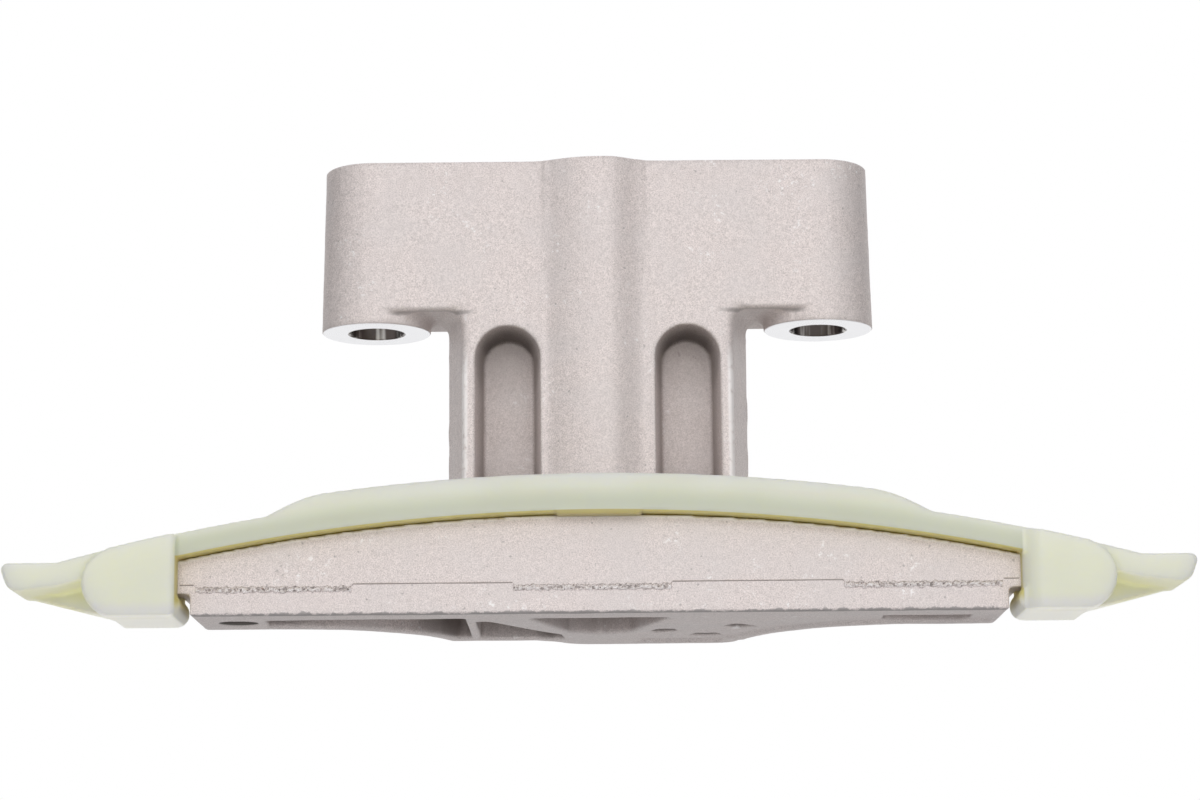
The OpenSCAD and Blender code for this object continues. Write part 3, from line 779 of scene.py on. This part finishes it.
ragged = (cast.noise(spot, size=1.6 * MM, detail=3.0, roughness=0.7) - RAGGED_MEAN) * RAGGED_REACH
low_edge = cast.step(cast.size_of(z - LOW_EDGE_Z) - ragged, *LOW_EDGE_SPAN) * cast.step(y, *LOW_EDGE_Y)
from_hole = cast.out("ShaderNodeVectorMath", {"operation": "DISTANCE"}, _0=cast.point(x, y, 0.0), _1=HOLE_PLACE)
hole_wall = cast.step(from_hole, *HOLE_SPAN) * cast.step(z, *HOLE_MOUTH) * cast.step(z, *HOLE_END)
web_line = cast.band(z, WEB_Z, *WEB_SPAN) * cast.step(y, *WEB_Y)
web_line = web_line * cast.step(aside, *WEB_FROM_X) * cast.step(aside, *WEB_TO_X)
# Painted shade along the foot's lower edge and on the blind hole's wall.
blasted = cast.coats(blasted, (low_edge, 0.75, LOW_EDGE_SHADE_TINT), (hole_wall, 0.9, HOLE_SHADE_TINT))
print("nodes so far", len(cast.tree.nodes))

# %% [markdown]
# Ambient occlusion paints shade into the pockets, a little less under the head and in the slot at
# the foot's right, and most of all at the rounded tops of the stem's two pockets, which face down.

# %% Cast aluminium: painted shade in the hollows
HOLLOW_REACH, HOLLOW_SPAN = 10 * MM, (0.87, 0.3)
HEAD_Z, HEAD_X, HEAD_CUT = mm(-31, -29), mm(19.2, 20.4), 0.75
SLOT_Z, SLOT_X, SLOT_CUT = mm(-70.5, -72), mm(20, 24), 0.6
CEILING_FACING, CEILING_Z, CEILING_X = (-0.15, -0.7), mm(-44, -40), mm(19, 18)
HOLLOW_SHADE_TINT, CEILING_SHADE_TINT = (0.25, 0.21, 0.195), (0.09, 0.075, 0.07)

hollow_shade = cast.out("ShaderNodeAmbientOcclusion", {"samples": 8, "only_local": True}, 1, Distance=HOLLOW_REACH)
under_head = cast.step(z, *HEAD_Z) * cast.step(aside, *HEAD_X)
right_slot = cast.step(z, *SLOT_Z) * cast.step(x, *SLOT_X)
hollow_shade = cast.step(hollow_shade, *HOLLOW_SPAN) * (1 - under_head * HEAD_CUT) * (1 - right_slot * SLOT_CUT)
ceiling = cast.step(cast.facing_up(), *CEILING_FACING) * cast.step(z, *CEILING_Z) * cast.step(aside, *CEILING_X)
# Painted shade in the hollows, darkest on the pockets' downward-facing tops, and along the head's blends.
blasted = cast.coats(
    blasted, (hollow_shade, 0.78, HOLLOW_SHADE_TINT), (ceiling * hollow_shade, 0.8, CEILING_SHADE_TINT), (web_line, 0.7, WEB_SHADE_TINT),
)
print("nodes so far", len(cast.tree.nodes))

# %% [markdown]
# The last cell joins the skins. The crease attribute of the scars paints shade and highlights into the colour.
# Bare metal is fully metallic, the blasted skin only in part, because its grey oxide scatters light.

# %% Cast aluminium: the finish
CREASE_SHADE_TINT, LUMP_HIGHLIGHT_TINT = (0.20, 0.175, 0.165), (0.95, 0.92, 0.92)
BLASTED_ROUGH, GRAIN_ROUGH = 0.62, 0.25
MILLED_ROUGH, TOP_ROUGH, RING_ROUGH = 0.26, 0.10, 0.04
PIT_DEPTH, RING_HEIGHT = 0.8, 0.08
BLASTED_METAL, MILLED_METAL = 0.35, 1.0

crease = cast.read("ShaderNodeAttribute", "Fac", {"attribute_name": "crease"})
# Painted shade in the seam's crease and painted highlights on the scars' lumps.
colour = cast.coats(
    cast.mix(milled, blasted, bright),
    (cast.most(crease, 0.0), 0.85, CREASE_SHADE_TINT), (cast.most(0.0 - crease, 0.0), 0.8, LUMP_HIGHLIGHT_TINT),
)
rough = BLASTED_ROUGH + (grain - 0.5) * GRAIN_ROUGH
rough = rough + (MILLED_ROUGH + top_face * TOP_ROUGH + rings * RING_ROUGH - rough) * milled
height = (grain - pits * PIT_DEPTH) * (1 - milled) + rings * RING_HEIGHT * milled
bump = cast.out("ShaderNodeBump", Strength=0.55, Distance=0.06 * MM, Height=height)
metal = cast.out(
    "ShaderNodeBsdfPrincipled", BaseColor=colour, Roughness=rough, Normal=bump,
    Metallic=BLASTED_METAL + milled * (MILLED_METAL - BLASTED_METAL),
)
bracket.data.materials.append(cast.finish(metal))
seam_piece.data.materials.append(cast.owner)

# %% [markdown]
# The shoe's nylon is a pale green cream, with faint bands from the flow of the mould, which follow
# the chain's arc. The side of its long middle part is painted a cooler green as painted shade, the
# ends are painted a little lighter, and its lowest strip, which lies in the shade of the foot's edge,
# is painted olive: shade, with light come through the nylon, darker at the key. The low parts of the
# hooks get a painted reflection of the white table. The masks for these places come first.

# %% Slider nylon: places
RUN_R, SHOE_T = mm(303.48, 3.4)
TOP_FACING = (0.55, 0.15)
END_X, MIDDLE_X, KEY_X = mm(61.3, 61.7), mm(61.4, 61.2), mm(6.8, 6.3)
BODY_SPAN, BED_SPAN = mm(0.9, -2.2), (0.25 * MM - SHOE_T, 0.1 * MM - SHOE_T)
HEEL_Z = mm(-72.5, -74.3)

nylon = Paint(bpy.data.materials.new("slider_nylon"))
spot = nylon.place()
x, y, z = nylon.split(spot)
aside = nylon.size_of(x)
over_run = nylon.length(x, z - ARC_CENTRE_Z) - RUN_R
turned = nylon.facing_up()
not_top = nylon.step(turned, *TOP_FACING)
end = nylon.step(aside, *END_X) * not_top
middle = nylon.step(aside, *MIDDLE_X)
body_side = middle * not_top * nylon.step(over_run, *BODY_SPAN)
bed_side = middle * nylon.step(over_run, *BED_SPAN)
key_side = bed_side * nylon.step(aside, *KEY_X)
heel = nylon.step(z, *HEEL_Z)
print("nodes so far", len(nylon.tree.nodes))

# %% Slider nylon: tints
CREAM_DARK, CREAM_PALE = (0.805, 0.83, 0.69), (0.845, 0.87, 0.745)
END_LIGHT_TINT, BAND_TINT, HOLLOW_SHADE_TINT = (0.90, 0.92, 0.745), (0.82, 0.79, 0.67), (0.86, 0.80, 0.46)
BODY_SHADE_TINT, BED_SHADE_TINT, KEY_SHADE_TINT = (0.55, 0.585, 0.475), (0.66, 0.58, 0.20), (0.56, 0.48, 0.20)
HEEL_LIGHT_TINT = (0.86, 0.85, 0.81)
HOLLOW_REACH, HOLLOW_SPAN = 5 * MM, (0.85, 0.35)
BAND_SQUEEZE, BAND_STRENGTH, BAND_LOST = 0.06, 0.35, 0.31

cloud = nylon.spots(spot, size=14 * MM, low=0.3, high=0.7)
bands = nylon.spots(nylon.point(x * BAND_SQUEEZE, 0.0, over_run), size=1.2 * MM, low=0.4, high=0.75)
# Ambient occlusion paints a yellow shade into the nylon's hollows.
hollow_shade = nylon.out("ShaderNodeAmbientOcclusion", {"samples": 8}, 1, Distance=HOLLOW_REACH)
# Painted light on one nylon: lighter ends, painted shade on the middle's side and lowest strip, and a painted
# reflection on the hooks.
cream = nylon.coats(
    nylon.mix(cloud, CREAM_DARK, CREAM_PALE),
    (end, 1.0, END_LIGHT_TINT),
    (bands, BAND_STRENGTH - end * BAND_LOST, BAND_TINT),
    (nylon.step(hollow_shade, *HOLLOW_SPAN), 0.6, HOLLOW_SHADE_TINT),
    (body_side, 0.58, BODY_SHADE_TINT),
    (bed_side, 1.0, BED_SHADE_TINT),
    (key_side, 1.0, KEY_SHADE_TINT),
    (heel, 0.8, HEEL_LIGHT_TINT),
)
print("nodes so far", len(nylon.tree.nodes))

# %% [markdown]
# Nylon lets a little light in, which subsurface scattering shows. The undersides of the thin ends
# glow with light that has come through from above, further than the scattering reaches, so a faint
# emission stands in for it there.

# %% Slider nylon: the finish
DOWN_FACING = (0.05, -0.9)
PLASTIC_ROUGH, FINE_ROUGH = 0.42, 0.12
THROUGH_END, THROUGH_HEEL, NO_LIGHT = (0.14, 0.13, 0.065), (0.26, 0.255, 0.235), (0.0, 0.0, 0.0)

through = nylon.mix(heel, THROUGH_END, THROUGH_HEEL)
through = nylon.mix(nylon.step(turned, *DOWN_FACING) * end, NO_LIGHT, through)
fine = nylon.noise(spot, size=0.5 * MM)
skin_bump = nylon.out("ShaderNodeBump", Strength=0.15, Distance=0.05 * MM, Height=fine)
plastic = nylon.out(
    "ShaderNodeBsdfPrincipled",
    BaseColor=cream, Roughness=PLASTIC_ROUGH + (fine - 0.5) * FINE_ROUGH, IOR=1.5, SubsurfaceWeight=1.0,
    SubsurfaceRadius=(1.0, 0.97, 0.7), SubsurfaceScale=5 * MM, Normal=skin_bump,
    EmissionColor=through, EmissionStrength=1.0,
)
slider.data.materials.append(nylon.finish(plastic))
